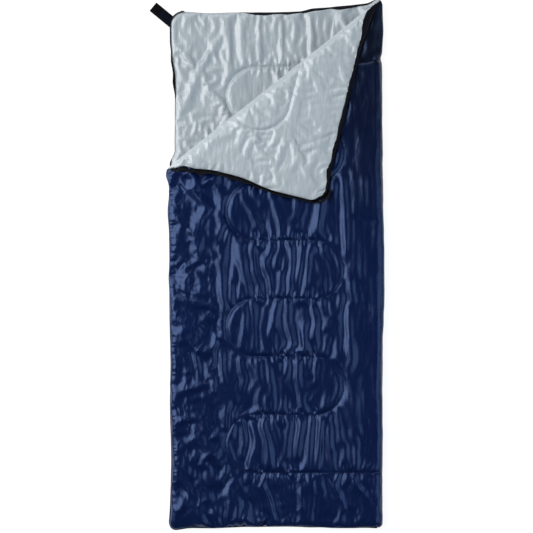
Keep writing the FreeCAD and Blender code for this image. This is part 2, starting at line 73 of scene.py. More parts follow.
HALF_W, HALF_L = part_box("bottom_lining")[1].x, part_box("bottom_lining")[1].y
BOTTOM_SEAM, BOTTOM_FACE = levels("bottom_lining")
TOP_UNDER = levels("top_lining")[0]
TOP_SEAM, TOP_FACE = levels("top_shell")
SIDE_HINGE = next(j for j in frame["joints"] if j["name"] == "top_open")
TURN_HINGE = next(j for j in frame["joints"] if j["name"] == "corner_turn")
CHAIN_Z = SIDE_HINGE["pos_m"][2]

# The crease of the turned corner, from the zip side to the head edge.
CREASE_START = Vector(TURN_HINGE["pos_m"])
CREASE_WAY = Vector((abs(TURN_HINGE["axis"][0]), abs(TURN_HINGE["axis"][1]), 0)).normalized()
CREASE_NORMAL = Vector((-CREASE_WAY.y, CREASE_WAY.x, 0))
HEAD_RISE = 0.022
CREASE_LENGTH = (HALF_L + HEAD_RISE - CREASE_START.y) / CREASE_WAY.y
TURN_BACK = (
    Matrix.Translation(CREASE_START)
    @ Matrix.Rotation(math.pi, 4, CREASE_WAY)
    @ Matrix.Translation(-CREASE_START)
)

# Quilting: eight rows across, joined by half turns.
ROWS = 8
PITCH = 0.202
TURN_RADIUS = PITCH / 2
LEFT_TURN_X = -0.175 + TURN_RADIUS
RIGHT_TURN_X = 0.236 - TURN_RADIUS
FINE = PITCH / 60
COARSE = PITCH / 20
ROW_YS = [PITCH * (row - (ROWS - 1) / 2) for row in range(ROWS)]

# Rounded corners as (side in x, side in y, radius).
CORNERS = [(-1, 1, 0.05), (-1, -1, 0.03), (1, 1, 0.014), (1, -1, 0.014)]
RIM = 0.026


# -------- fields in plan


def smooth(value):
    """0 to 1, eased at both ends."""
    t = np.clip(value, 0, 1)
    return t * t * (3 - 2 * t)


def mix(a, b, weight):
    return a + (b - a) * weight


def unit(vectors):
    return vectors / np.maximum(np.linalg.norm(vectors, axis=1, keepdims=True), 1e-9)


def bump(distance, width):
    """1 at distance 0, easing to nothing at about twice the width."""
    return np.exp(-((distance / width) ** 2))


def swells(value, table):
    """A sum of bumps: each is (height, centre, width)."""
    return sum(height * bump(value - centre, width) for height, centre, width in table)


def noise(x, y, scale, seed):
    """Smooth noise from -1 to 1, with features about scale metres across."""
    table = np.random.default_rng(seed).uniform(-1, 1, (64, 64))
    turn = 0.5 + seed * 2.4
    u = (x * math.cos(turn) - y * math.sin(turn)) / scale + 1000
    v = (x * math.sin(turn) + y * math.cos(turn)) / scale + 1000
    i, j = np.floor(u).astype(int), np.floor(v).astype(int)
    a, b = smooth(u - i), smooth(v - j)
    low = mix(table[i % 64, j % 64], table[(i + 1) % 64, j % 64], a)
    high = mix(table[i % 64, (j + 1) % 64], table[(i + 1) % 64, (j + 1) % 64], a)
    return mix(low, high, b)


def ridged(x, y, scale, seed):
    """Noise with sharp crests."""
    return 1 - 2 * np.abs(noise(x, y, scale, seed))


def quilt_nearest(x, y):
    """The distance to the quilting line, and the nearest point on it."""
    found = [np.full(x.shape, 9.0), x.copy(), y.copy()]

    def offer(px, py, valid=True):
        gap = np.hypot(px - x, py - y)
        closer = (gap < found[0]) & valid
        for index, value in enumerate((gap, px, py)):
            found[index] = np.where(closer, value, found[index])

    for row, row_y in enumerate(ROW_YS):
        end = HALF_W if row in (0, ROWS - 1) else RIGHT_TURN_X
        offer(np.clip(x, LEFT_TURN_X, end), np.full(y.shape, row_y))
        if row == ROWS - 1:
            break
        side, centre_x = (-1, LEFT_TURN_X) if row % 2 == 0 else (1, RIGHT_TURN_X)
        dx, dy = x - centre_x, y - (row_y + TURN_RADIUS)
        scale = TURN_RADIUS / np.maximum(np.hypot(dx, dy), 1e-6)
        offer(centre_x + dx * scale, row_y + TURN_RADIUS + dy * scale, dx * side > 0)
    return found


def quilt_path(step):
    """Points along the whole quilting line, step apart."""
    points = []
    turn_count = int(math.pi * TURN_RADIUS / step)
    for row, row_y in enumerate(ROW_YS):
        leftward = row % 2 == 0
        start = HALF_W if row == 0 else (RIGHT_TURN_X if leftward else LEFT_TURN_X)
        end = LEFT_TURN_X if leftward else (HALF_W if row == ROWS - 1 else RIGHT_TURN_X)
        count = max(2, int(abs(end - start) / step))
        points.extend((x, row_y) for x in np.linspace(start, end, count, endpoint=False))
        if row == ROWS - 1:
            break
        for turn in np.linspace(0, math.pi, turn_count, endpoint=False):
            side = -math.sin(turn) if leftward else math.sin(turn)
            points.append((end + TURN_RADIUS * side, row_y + TURN_RADIUS * (1 - math.cos(turn))))
    return np.array(points)


def rounded_corners(x, y):
    """Each corner, with the points' places from its centre of rounding, and which are in it."""
    for side_x, side_y, radius in CORNERS:
        u, v = x * side_x - (HALF_W - radius), y * side_y - (HALF_L - radius)
        yield side_x, side_y, radius, u, v, (u > 0) & (v > 0)


def edge_distance(x, y):
    """The distance in from the panel's rounded outline, and the outward direction."""
    to_x, to_y = HALF_W - np.abs(x), HALF_L - np.abs(y)
    side_first = to_x < to_y
    gap = np.where(side_first, to_x, to_y)
    out_x = np.where(side_first, np.sign(x), 0.0)
    out_y = np.where(side_first, 0.0, np.sign(y))
    for side_x, side_y, radius, u, v, inside in rounded_corners(x, y):
        reach = np.maximum(np.hypot(u, v), 1e-9)
        gap = np.where(inside, radius - reach, gap)
        out_x = np.where(inside, side_x * u / reach, out_x)
        out_y = np.where(inside, side_y * v / reach, out_y)
    return np.maximum(gap, 0), out_x, out_y


def crease_place(x, y):
    """How far along the crease a point is, and how far on the head corner's side of it."""
    dx, dy = x - CREASE_START.x, y - CREASE_START.y
    return dx * CREASE_WAY.x + dy * CREASE_WAY.y, dx * CREASE_NORMAL.x + dy * CREASE_NORMAL.y


CREASE_WIDTH = 0.045


def crease_reach(along):
    """How far the lining's fold stands out past the crease's axis."""
    wave = 0.0014 * noise(along, along * 0, 0.06, 11) + 0.0009 * noise(along, along * 0, 0.017, 12)
    inside = smooth(np.minimum(along, CREASE_LENGTH - along) / 0.06)
    return mix(0.0025, 0.0045 + 0.7 * wave, inside)


def crease_bend(z, along, beyond):
    """Rounds the closed top panel's lining towards the crease's axis, as half an ellipse."""
    reach = crease_reach(along)
    share = np.clip((CREASE_WIDTH - np.abs(beyond)) / (CREASE_WIDTH + reach), 0, 1)
    return CREASE_START.z - (CREASE_START.z - z) * np.sqrt(1 - share**2)


def soft_limit(z, limit, margin):
    """Keeps z below a limit, easing towards it over the margin."""
    over = np.maximum(z - (limit - margin), 0)
    return np.minimum(z, limit - margin) + margin * (1 - np.exp(-over / margin))


def folds(x, y, seed):
    """Sharp-crested folds that run from row to row, uneven in width and lean."""
    lean = x + 0.018 * noise(x, y, 0.12, seed)
    lean += 0.6 * (y + 0.707) * smooth((-0.715 - y) / 0.03) * smooth((0.15 - x) / 0.2)
    broad = ridged(lean, y / 4, 0.066, seed + 1)
    narrow = ridged(lean, y / 5, 0.024, seed + 2)
    patchy = 1 + 0.7 * noise(x, y, 0.13, seed + 3)
    return (0.0036 * broad + 0.0009 * narrow) * patchy


# Crumples: their sway and its scale, their stretch along y, and then the height and scale of
# the broad and of the narrow ones.
LARGE = (0.02, 0.07, 1.8, (0.0032, 0.06), (0.0009, 0.026))
SMALL = (0.012, 0.04, 1.6, (0.0018, 0.032), (0.0008, 0.014))


def crumples(x, y, kind, seed):
    """Sharp-crested crumples that run every way."""
    sway, sway_scale, stretch, broad, narrow = kind
    bent_x = x + sway * noise(x, y, sway_scale, seed)
    bent_y = (y + sway * noise(x, y, sway_scale, seed + 1)) / stretch
    total = broad[0] * ridged(bent_x, bent_y, broad[1], seed + 2)
    return total + narrow[0] * ridged(bent_x, bent_y, narrow[1], seed + 3)


def puckers(x, y, seed):
    """Short close ridges out from both sides of the straight quilting rows."""
    gap = np.min([np.abs(y - row_y) for row_y in ROW_YS], axis=0)
    inside = smooth((x - LEFT_TURN_X + 0.03) / 0.03) * smooth((RIGHT_TURN_X + 0.03 - x) / 0.03)
    reach = 0.013 * (1 + 0.5 * noise(x, y, 0.03, seed + 1))
    ridges = 0.003 * (0.7 - 2 * np.abs(noise(x, y / 8, 0.011, seed))) * bump(gap - 0.007, reach)
    return ridges * inside * (1 - np.exp(-gap / 0.003))


def creases(x, y, lines):
    """Raised or sunk creases: each is ((x, y), ... points, half width, height)."""
    total = np.zeros(x.shape)
    for *points, width, height in lines:
        best = np.full(x.shape, 9.0)
        fade = np.ones(x.shape)
        for index, (start, end) in enumerate(zip(points, points[1:])):
            ax, ay = start
            bx, by = end[0] - ax, end[1] - ay
            t = ((x - ax) * bx + (y - ay) * by) / (bx * bx + by * by)
            near = np.clip(t, 0, 1)
            gap = np.hypot(x - ax - bx * near, y - ay - by * near)
            progress = (index + near) / (len(points) - 1)
            fade = np.where(gap < best, smooth(np.minimum(progress, 1 - progress) / 0.25), fade)
            best = np.minimum(best, gap)
        total += height * bump(best, width) * mix(0.35, 1, fade)
    return total


# -------- cloth solver


def pair(step_y, step_x):
    """Slices that pick the first and second point of every link with this step."""

    def ends(step):
        if step >= 0:
            return slice(0, -step or None), slice(step, None)
        return slice(-step, None), slice(0, step)

    (y0, y1), (x0, x1) = ends(step_y), ends(step_x)
    return (y0, x0), (y1, x1)


def flatten(field):
    """How far each point is from its neighbours' middle."""
    wide = np.pad(field, ((1, 1), (1, 1), (0, 0)), "edge")
    middle = (wide[2:, 1:-1] + wide[:-2, 1:-1] + wide[1:-1, 2:] + wide[1:-1, :-2]) * 0.25
    return middle - field


# Links to the neighbours across, along and on both diagonals, with their shares of stiffness.
LINK_STEPS = [(0, 1, 1.0), (1, 0, 1.0), (1, 1, 0.35), (1, -1, 0.35)]
LINK_STIFFNESS = 0.35
SPEED_KEPT = 0.9


def relax(rest, pinned, slack_x, slack_y, target, seed, steps, bend=0.06, hold=0.0007):
    """Slack cloth settled over soft wadding, sewn down where it is pinned.

    rest is the smooth padded shape, slack_x and slack_y are the spare cloth at each point,
    and target is the height above rest that the wadding pushes towards.
    """
    free = (~pinned)[..., None].astype(np.float32)
    rest = rest.astype(np.float32)
    target = target.astype(np.float32)
    links = []
    for step_y, step_x, stiff in LINK_STEPS:
        a, b = pair(step_y, step_x)
        span = rest[b] - rest[a]
        length = np.linalg.norm(span, axis=-1)
        spare = slack_x[a] * span[..., 0] ** 2 + slack_y[a] * span[..., 1] ** 2
        spare = spare / np.maximum(length**2, 1e-12)
        links.append((a, b, (length * (1 + spare)).astype(np.float32), stiff * LINK_STIFFNESS))
    now = rest.copy()
    x, y = rest[..., 0], rest[..., 1]
    start = 0.0008 * noise(x, y / 6, 0.036, seed) + 0.0005 * noise(x, y, 0.016, seed + 1)
    now[..., 2] += (start.astype(np.float32) + target) * free[..., 0]
    speed = np.zeros_like(rest)
    for _ in range(steps):
        push = np.zeros_like(rest)
        for a, b, length, stiff in links:
            span = now[b] - now[a]
            reach = np.sqrt(np.einsum("...k,...k", span, span)) + 1e-9
            pull = span * ((1 - length / reach) * stiff)[..., None]
            push[a] += pull
            push[b] -= pull
        move = now - rest
        push -= bend * flatten(flatten(move))
        push[..., 2] -= hold * (move[..., 2] - target)
        speed = (speed * SPEED_KEPT + push) * free
        now = now + speed
    return now.astype(float)


# -------- meshes


def axis_steps(half, spacing):
    """Even steps over the middle, and closer ones over the rounded rims."""
    outer = half - RIM * (1 - np.cos(np.radians(np.linspace(80, 0, 9))))
    inner = spacing * np.arange(0, int(half / spacing) + 1)
    positive = np.concatenate([inner[inner < outer[0] - spacing * 0.5], outer])
    return np.concatenate([-positive[:0:-1], positive])


def plan(spacing):
    """Grid points over the panel, with its corners rounded and its quilting on the grid."""
    x, y = np.meshgrid(axis_steps(HALF_W, spacing), axis_steps(HALF_L, spacing))
    for side_x, side_y, radius, u, v, inside in rounded_corners(x, y):
        scale = np.maximum(u, v) / np.maximum(np.hypot(u, v), 1e-9)
        x = np.where(inside, side_x * (HALF_W - radius + u * scale), x)
        y = np.where(inside, side_y * (HALF_L - radius + v * scale), y)
    gap, near_x, near_y = quilt_nearest(x, y)
    sewn = gap < spacing * 0.5
    return np.where(sewn, near_x, x), np.where(sewn, near_y, y), sewn


def placed(name, data):
    """A new object in the scene."""
    obj = bpy.data.objects.new(name, data)
    bpy.context.scene.collection.objects.link(obj)
    return obj


def new_mesh(name, points, faces, used):
    """A smooth mesh object from an array of points and lists or an array of faces."""
    mesh = bpy.data.meshes.new(name)
    points = np.asarray(points, float).reshape(-1, 3)
    mesh.from_pydata([tuple(p) for p in points], [], [tuple(f) for f in faces])
    mesh.polygons.foreach_set("use_smooth", [True] * len(mesh.polygons))
    mesh.materials.append(used)
    mesh.update()
    return placed(name, mesh)


def grid_faces(rows, columns, flip=False):
    index = np.arange(rows * columns).reshape(rows, columns)
    corners = [index[:-1, :-1], index[:-1, 1:], index[1:, 1:], index[1:, :-1]]
    faces = np.stack([c.ravel() for c in corners], axis=1)
    return faces[:, ::-1] if flip else faces


def outline_indices(rows, columns):
    """Grid indices round the three sewn edges: foot, zip side and head."""
    index = np.arange(rows * columns).reshape(rows, columns)
    return np.concatenate([index[0, ::-1], index[1:, 0], index[-1, 1:]])


def cut_at_crease(obj, name):
    """Cuts the head corner off a closed top-panel piece, and turns it over as a new piece."""
    corner = placed(name, obj.data.copy())
    corner.data.name = name
    for part, clear_head in ((obj, True), (corner, False)):
        work = bmesh.new()
        work.from_mesh(part.data)
        bmesh.ops.bisect_plane(
            work, geom=work.verts[:] + work.edges[:] + work.faces[:],
            plane_co=CREASE_START, plane_no=CREASE_NORMAL,
            clear_outer=clear_head, clear_inner=not clear_head,
        )
        work.to_mesh(part.data)
        work.free()
    corner.data.transform(TURN_BACK)
    return corner


# -------- materials

# Sockets of the mix node's colours.
MIX_A, MIX_B, MIXED = 6, 7, 2


def shader_of(made):
    return made.node_tree.nodes["Principled BSDF"]


def set_inputs(made_node, inputs):
    for name, value in inputs.items():
        made_node.inputs[name.replace("_", " ")].default_value = value


def material(name, color, roughness, **inputs):
    made = bpy.data.materials.new(name)
    made.use_nodes = True
    set_inputs(shader_of(made), {"Base_Color": (*color, 1), "Roughness": roughness, **inputs})
    return made


def node(made, kind, operation=None, **inputs):
    new = made.node_tree.nodes.new("ShaderNode" + kind)
    if operation:
        new.operation = operation
    set_inputs(new, inputs)
    return new


def color_mix(made):
    blend = node(made, "Mix")
    blend.data_type = "RGBA"
    return blend


def join(source, output, target, entry):
    """Links a node's output to another node's input."""
    source.id_data.links.new(source.outputs[output], target.inputs[entry])


def varied(made, place, color, shade, roughness):
    """Adds slow changes of tone and gloss, and gives back the node with the changing colour."""
    tone = node(made, "TexNoise", Scale=9.0, Detail=4.0, Roughness=0.6)
    blend = color_mix(made)
    blend.inputs[MIX_A].default_value = (*color, 1)
    blend.inputs[MIX_B].default_value = (*shade, 1)
    gloss = node(made, "TexNoise", Scale=28.0, Detail=3.0)
    spread = node(made, "MapRange", To_Min=roughness - 0.06, To_Max=roughness + 0.08)
    join(place, "Object", tone, "Vector")
    join(tone, "Fac", blend, 0)
    join(place, "Object", gloss, "Vector")
    join(gloss, "Fac", spread, "Value")
    join(spread, "Result", shader_of(made), "Roughness")
    return blend


def textured(name, color, shade, roughness, grain, size, depth, **inputs):
    """A small part's stuff: its fine ribs or grain, with changes of tone and gloss."""
    made = material(name, color, roughness, **inputs)
    place = node(made, "TexCoord")
    join(varied(made, place, color, shade, roughness), MIXED, shader_of(made), "Base Color")
    height = "Fac"
    if grain == "ribs":
        relief = node(made, "TexWave", Scale=0.05 / size, Distortion=1.0, Detail=2.0)
        relief.bands_direction = "DIAGONAL"
    elif grain == "loops":
        relief, height = node(made, "TexVoronoi", Scale=1 / size), "Distance"
    else:
        relief = node(made, "TexNoise", Scale=1 / size, Detail=4.0)
    raised = node(made, "Bump", Strength=0.6, Distance=depth)
    join(place, "Object", relief, "Vector")
    join(relief, height, raised, "Height")
    join(raised, "Normal", shader_of(made), "Normal")
    return made


def shaded(made, place, tinted):
    """Paints shade onto the closed long side beside the turned corner: darkest at the head end,
    fading down towards the bag's middle.
    """
    split = node(made, "SeparateXYZ")
    across = node(made, "MapRange", From_Min=0.2, From_Max=0.27)
    along = node(made, "MapRange", From_Min=0.7, From_Max=0.716)
    under = node(made, "MapRange", From_Max=0.55, To_Max=0.7)
    deepest = node(made, "Math", "MAXIMUM")
    both = node(made, "Math", "MULTIPLY")
    dark = color_mix(made)
    # Painted shade: this near-black colour is mixed in over that area.
    dark.inputs[MIX_B].default_value = (0.0004, 0.0008, 0.006, 1)
    join(place, "Object", split, 0)
    join(split, "X", across, "Value")
    join(split, "Y", along, "Value")
    join(split, "Y", under, "Value")
    join(along, "Result", deepest, 0)
    join(under, "Result", deepest, 1)
    join(across, "Result", both, 0)
    join(deepest, 0, both, 1)
    join(both, 0, dark, 0)
    join(tinted, MIXED, dark, MIX_A)
    return dark


def woven(name, color, shade, roughness, facets, shade_painted_at_head=False, **inputs):
    """Satin: fine weave, small creases, and slow changes of tone and gloss.

    facets is the small creases' spacing along x and y, and their depth.
    """
    made = material(name, color, roughness, **inputs)
    place = node(made, "TexCoord")
    tinted = varied(made, place, color, shade, roughness)
    # Paints shade onto the closed long side towards its head end.
    if shade_painted_at_head:
        tinted = shaded(made, place, tinted)
    join(tinted, MIXED, shader_of(made), "Base Color")

    both = node(made, "Math", "MULTIPLY")
    for index, direction in enumerate("XY"):
        wave = node(made, "TexWave", Scale=0.05 / WEAVE_SIZE, Distortion=0.6, Detail=1.0)
        wave.bands_direction = direction
        join(place, "Object", wave, "Vector")
        join(wave, "Fac", both, index)
    across, along, relief = facets
    stretch = node(made, "Mapping", Scale=(1 / across, 1 / along, 1 / across))
    sway = node(made, "TexNoise", Scale=0.6, Detail=2.0)
    offset = node(made, "VectorMath", "MULTIPLY_ADD")
    offset.inputs[1].default_value = (1.6, 1.6, 1.6)
    crumple = node(made, "TexVoronoi", Scale=1.0)
    fine_bump = node(made, "Bump", Strength=0.25, Distance=WEAVE_DEPTH)
    soft_bump = node(made, "Bump", Distance=relief)
    join(place, "Object", stretch, "Vector")
    join(stretch, "Vector", sway, "Vector")
    join(sway, "Color", offset, 0)
    join(stretch, "Vector", offset, 2)
    join(offset, "Vector", crumple, "Vector")
    join(both, 0, fine_bump, "Height")
    join(crumple, "Distance", soft_bump, "Height")
    join(fine_bump, "Normal", soft_bump, "Normal")
    join(soft_bump, "Normal", shader_of(made), "Normal")
    return made


WEAVE_SIZE = 0.0004
WEAVE_DEPTH = 0.0002
LINING_FACETS = (0.015, 0.045, 0.0014)
# The navy satin carries painted shade on the closed long side towards the head.
NAVY = woven(
    "navy satin", (0.0009, 0.0095, 0.066), (0.0006, 0.0065, 0.048), 0.3,
    facets=(0.024, 0.085, 0.0018), shade_painted_at_head=True,
    Specular_IOR_Level=0.8, Specular_Tint=(0.36, 0.54, 1.0, 1),
)
SILVER = woven(
    "silver satin", (0.5, 0.565, 0.605), (0.44, 0.505, 0.55), 0.28,
    facets=LINING_FACETS, Specular_IOR_Level=1.0,
)
# Painted light: the same silver satin, coloured lighter for the turned corner's lining and its
# crease fold.
SILVER_PAINTED_LIGHTER = woven(
    "silver satin painted lighter on the turned corner", (0.57, 0.64, 0.68), (0.5, 0.57, 0.62), 0.3,
    facets=LINING_FACETS, Specular_IOR_Level=1.0,
)
# Small parts: name, two tones, roughness, grain with its size and depth, and sheen.
EDGING_WITH_PAINTED_SHADE, THREAD, PALE_THREAD, TAPE, COIL, METAL, WEBBING, HOOKS = [
    textured(*stuff, Specular_IOR_Level=sheen)
    for *stuff, sheen in (
        # Near-black edging of the shells' rolled seams: partly a binding, partly painted shade.
        ("dark edging with painted shade", (0.0006, 0.001, 0.004), (0.0015, 0.0025, 0.008), 0.6,
         "ribs", 0.0008, 0.0002, 0.2),
        ("navy thread", (0.001, 0.002, 0.009), (0.002, 0.004, 0.016), 0.7,
         "ribs", 0.0004, 0.0001, 0.5),
        ("grey thread", (0.3, 0.32, 0.36), (0.24, 0.26, 0.3), 0.7,
         "ribs", 0.0004, 0.0001, 0.5),
        ("black zip tape", (0.003, 0.003, 0.004), (0.006, 0.006, 0.008), 0.75,
         "ribs", 0.0008, 0.0002, 0.2),
        ("black nylon", (0.005, 0.005, 0.006), (0.009, 0.009, 0.01), 0.55,
         "grain", 0.0008, 0.0001, 0.3),
        ("black painted metal", (0.006, 0.006, 0.007), (0.016, 0.016, 0.017), 0.45,
         "grain", 0.0012, 0.0001, 0.5),
        ("navy webbing", (0.0012, 0.002, 0.008), (0.0024, 0.0036, 0.012), 0.8,
         "ribs", 0.0012, 0.0004, 0.12),
        ("black hook tape", (0.002, 0.002, 0.003), (0.004, 0.004, 0.005), 0.9,
         "loops", 0.0009, 0.0005, 0.1),
    )
]
FLOOR = material(
    "floor", (0.25, 0.25, 0.25), 0.9, Emission_Color=(1, 1, 1, 1), Emission_Strength=0.9
)


# -------- panels


# How far from the quilting the wadding has risen to two thirds.
WADDING_RISE = 0.007
FOLD_START_X = 0.325
# The closed top panel's shell along its crease: at the outline, and further in.
EDGE_CREASE_Z = 0.0429
SHELL_CREASE_Z = 0.0466
# Both linings keep this far apart.
LINING_GAP_BOTTOM = TOP_UNDER - 0.0015
LINING_GAP_TOP = TOP_UNDER - 0.0006
GAP_MARGIN = 0.002
# Wrinkles fade out this near to the crease.
CREASE_FADE = 0.01
# Shares of the puckers that are in the padded shape, and that are added to the settled cloth.
PUCKERS_PADDED, PUCKERS_ADDED = 0.4, 0.8
SHELL_STEPS, LINING_STEPS = 420, 260
OUTLINE_GAP = 1e-6


def rim_profile(gap, width):
    """0 at the seam, 1 at width in from it, and round in between."""
    t = np.clip(1 - gap / width, 0, 1)
    return np.sqrt(np.maximum(1 - t * t, 0))


def padding(x, y, low):
    """The quilted wadding's fullness: low along the quilting and 1 between its rows."""
    gap = quilt_nearest(x, y)[0]
    return mix(low, 1, 1 - np.exp(-gap / WADDING_RISE))


def near_fold(x):
    """0 over most of the panel, and 1 at the closed long side."""
    return smooth((x - FOLD_START_X) / (HALF_W - FOLD_START_X))


def fold_seam(x, seam):
    """The seam's level, which goes to the zip chain's level at the closed long side."""
    return mix(seam, CHAIN_Z, near_fold(x))


def crease_dip(z, x, y, gap):
    """Brings the closed top panel's shell close to the crease's level along the crease."""
    _, beyond = crease_place(x, y)
    level = mix(EDGE_CREASE_Z, SHELL_CREASE_Z, smooth(gap / 0.03))
    return mix(level, z, smooth(np.abs(beyond) / 0.06))


# The outline's swells as (height, centre, width) along y.
DRAWN_PAST_CREASE = [(0.021, 0.5, 0.085), (0.015, 0.61, 0.075), (0.012, 0.39, 0.04)]
PUFF_BELOW_CREASE = [(0.012, 0.33, 0.03)]
CLOSED_SIDE_DRAWN = [(0.0045, 0.8, 0.05), (-0.005, 0.713, 0.012), (0.008, -0.02, 0.27)]
ZIP_SIDE_DRAWN = [(0.006, -0.66, 0.14), (-0.006, 0.2, 0.05), (0.004, -0.33, 0.12)]


def open_side(y):
    """Where the bottom panel's zip side has drawn in, with its zip undone."""
    return 0.017 * smooth((0.8 - y) / 0.15) * smooth((y - 0.366) / 0.05)


def turned_side(y):
    """Where the top panel's zip side stands out below the crease, and has drawn in past it."""
    past = smooth((y - CREASE_START.y) / 0.06)
    return swells(y, DRAWN_PAST_CREASE) * past - swells(y, PUFF_BELOW_CREASE) * (1 - past)


def settle(x, y, drawn_in):
    """Plan as the bag really lies: its head edge slants, and its outline isn't quite even."""
    share = (x + HALF_W) / (2 * HALF_W)
    slant = 1.235 * HEAD_RISE * share**4 - 0.006 * (1 - share) * smooth((x + 0.36) / 0.12)
    if drawn_in is open_side:
        slant += 0.008 * smooth((x - 0.083) / 0.05)
    else:
        slant += 0.008 * smooth((0.2 - x) / 0.2)
    puff = 0.009 * bump(x - 0.35, 0.022)
    rise = (slant + puff) * smooth((y - 0.45) / 0.45)
    gap, out_x, out_y = edge_distance(x, y)
    uneven = 0.0018 * noise(x, y, 0.11, 51) + 0.001 * noise(x, y, 0.035, 52)
    uneven = uneven * smooth(1 - gap / 0.08) * mix(1, 0.4, smooth((-0.33 - x) / 0.03))
    inward = drawn_in(y) * smooth((-0.17 - x) / 0.2)
    inward += swells(y, CLOSED_SIDE_DRAWN) * smooth((x - 0.33) / 0.04)
    inward += swells(y, ZIP_SIDE_DRAWN) * smooth((-0.25 - x) / 0.1)
    foot = bump(np.hypot(x + 0.355, y + 0.9), 0.036)
    sag = 0.0035 * bump(x - 0.02, 0.2) * smooth((-0.84 - y) / 0.06)
    x = x + out_x * uneven + inward - 0.005 * foot
    return x, y + out_y * uneven + rise - 0.008 * foot + sag


def seam_roll(x, y):
    """How far in over the lining the shell rolls at the seam."""
    at_head = smooth((y - 0.86) / 0.03)
    stretch = smooth((x + 0.13) / 0.08) * smooth((0.4 - x) / 0.1)
    return 0.0015 + 0.009 * at_head * stretch * (1 + 0.45 * noise(x, y, 0.035, 21))


def corner_roll(x, y):
    """The same for the top panel, whose head edge shows a wide band of shell."""
    at_head = smooth((y - 0.84) / 0.05)
    wide = 0.0115 + 0.009 * smooth((x - 0.18) / 0.1)
    return 0.0015 + wide * at_head * (1 + 0.35 * noise(x, y, 0.04, 22))


ROLL_RISE = 0.01
ROLL_STEPS = 4


def shell_surface(name, shape, roll, top):
    """A grid with a strip round its sewn edges that rolls over towards the lining side."""
    rows, columns = shape.shape[:2]
    ring = outline_indices(rows, columns)
    edge_x, edge_y, edge_z = shape.reshape(-1, 3)[ring].T
    _, out_x, out_y = edge_distance(edge_x, edge_y)
    near_crease = smooth(np.abs(crease_place(edge_x, edge_y)[1]) / 0.03)
    points = [shape.reshape(-1, 3)]
    faces = [grid_faces(rows, columns, flip=not top)]
    last = ring
    side = -1 if top else 1
    total = rows * columns
    reach = np.arccos(np.clip(1 - roll(edge_x, edge_y) / RIM, -1, 1))
    for step in range(1, ROLL_STEPS + 1):
        turn = reach * step / ROLL_STEPS
        inward = RIM * (1 - np.cos(turn))
        rise = side * ROLL_RISE * np.sin(turn) * (1 - near_fold(edge_x)) * near_crease
        rolled = [edge_x - out_x * inward, edge_y - out_y * inward, edge_z + rise]
        points.append(np.stack(rolled, axis=1))
        current = total + np.arange(len(ring))
        total += len(ring)
        strip = np.stack([last[:-1], last[1:], current[1:], current[:-1]], axis=1)
        faces.append(strip if top else strip[:, ::-1])
        last = current
    made = new_mesh(name, np.concatenate(points), np.concatenate(faces), NAVY)
    # The rolled strip gets the near-black edging: partly a binding, partly painted shade where the
    # shell turns into its seam.
    made.data.materials.append(EDGING_WITH_PAINTED_SHADE)
    edging = np.arange(len(made.data.polygons)) >= len(faces[0])
    made.data.polygons.foreach_set("material_index", edging.astype(int))
    return made


def roll_in(x, y, roll):
    """Moves lining points in from the outline, to end where the shell rolls over."""
    gap, out_x, out_y = edge_distance(x, y)
    inward = roll(x, y) * np.clip(1 - gap / 0.06, 0, 1) * (1 - near_fold(x))
    return x - out_x * inward, y - out_y * inward


def top_shell():
    x, y, sewn = plan(FINE)
    gap = edge_distance(x, y)[0]
    full = mix(TOP_SEAM, TOP_FACE + 0.0022, padding(x, y, 0.7))
    fold_width = mix(0.05, 0.11, smooth((y - 0.7) / 0.05))
    z = mix(fold_seam(x, TOP_SEAM), full, rim_profile(gap, mix(RIM, fold_width, near_fold(x))))
    ridges = puckers(x, y, 36)
    z += PUCKERS_PADDED * ridges * smooth(gap / 0.02)
    x, y = settle(x, y, turned_side)
    z = crease_dip(z, x, y, gap)
    rest = np.stack([x, y, z], axis=-1)
    _, beyond = crease_place(x, y)
    inner_turn = np.hypot(x - RIGHT_TURN_X - 0.03, (y + TURN_RADIUS * 2) % (2 * PITCH) - PITCH)
    calm = np.maximum(0.6 * smooth((x - 0.26) / 0.05), bump(inner_turn, 0.085))
    left = smooth((-0.15 - x) / 0.08)
    vary = 1 + 0.9 * noise(x, y / 2, 0.05, 30)
    slack_x = mix(mix(0.055, 0.045, left), 0.018, calm) * vary
    slack_y = mix(mix(0.014, 0.022, left), 0.01, calm) * (1 + 0.9 * noise(x, y, 0.07, 29))
    blobs = 0.0064 * ridged(x + 0.02 * noise(x, y, 0.06, 28), y, 0.085, 31)
    target = blobs * left + folds(x, y, 32) * mix(mix(1, 0.4, left), 0.2, calm)
    target += 0.006 * noise(x, y / 2, 0.075, 27) * (1 - calm)
    target += ridges + creases(x, y, SHELL_CREASES)
    pinned = sewn | (gap < OUTLINE_GAP)
    shape = relax(rest, pinned, slack_x, slack_y, target, 41, SHELL_STEPS, bend=0.15)
    clear = smooth(np.abs(beyond) / CREASE_FADE)
    shape = mix(rest, shape, clear[..., None])
    at_foot = 0.7 * smooth((-0.7 - y) / 0.03)
    fine = crumples(x, y, SMALL, 71) * np.maximum(left, at_foot) * smooth(gap / 0.02)
    gathers = 0.7 - 2 * np.abs(noise(y, x / 8, 0.012, 75))
    fine += 0.0018 * gathers * bump(gap - 0.013, 0.013) * smooth((-0.2 - x) / 0.1)
    shape[..., 2] += (PUCKERS_ADDED * ridges + fine) * clear
    return shape


def under_level(x, y):
    """The closed top panel's lining level, apart from its crease and wrinkles."""
    gap = edge_distance(x, y)[0]
    full = mix(TOP_SEAM, TOP_UNDER + 0.0025, padding(x, y, 0.5))
    return mix(fold_seam(x, TOP_SEAM), full, rim_profile(gap + corner_roll(x, y), RIM))


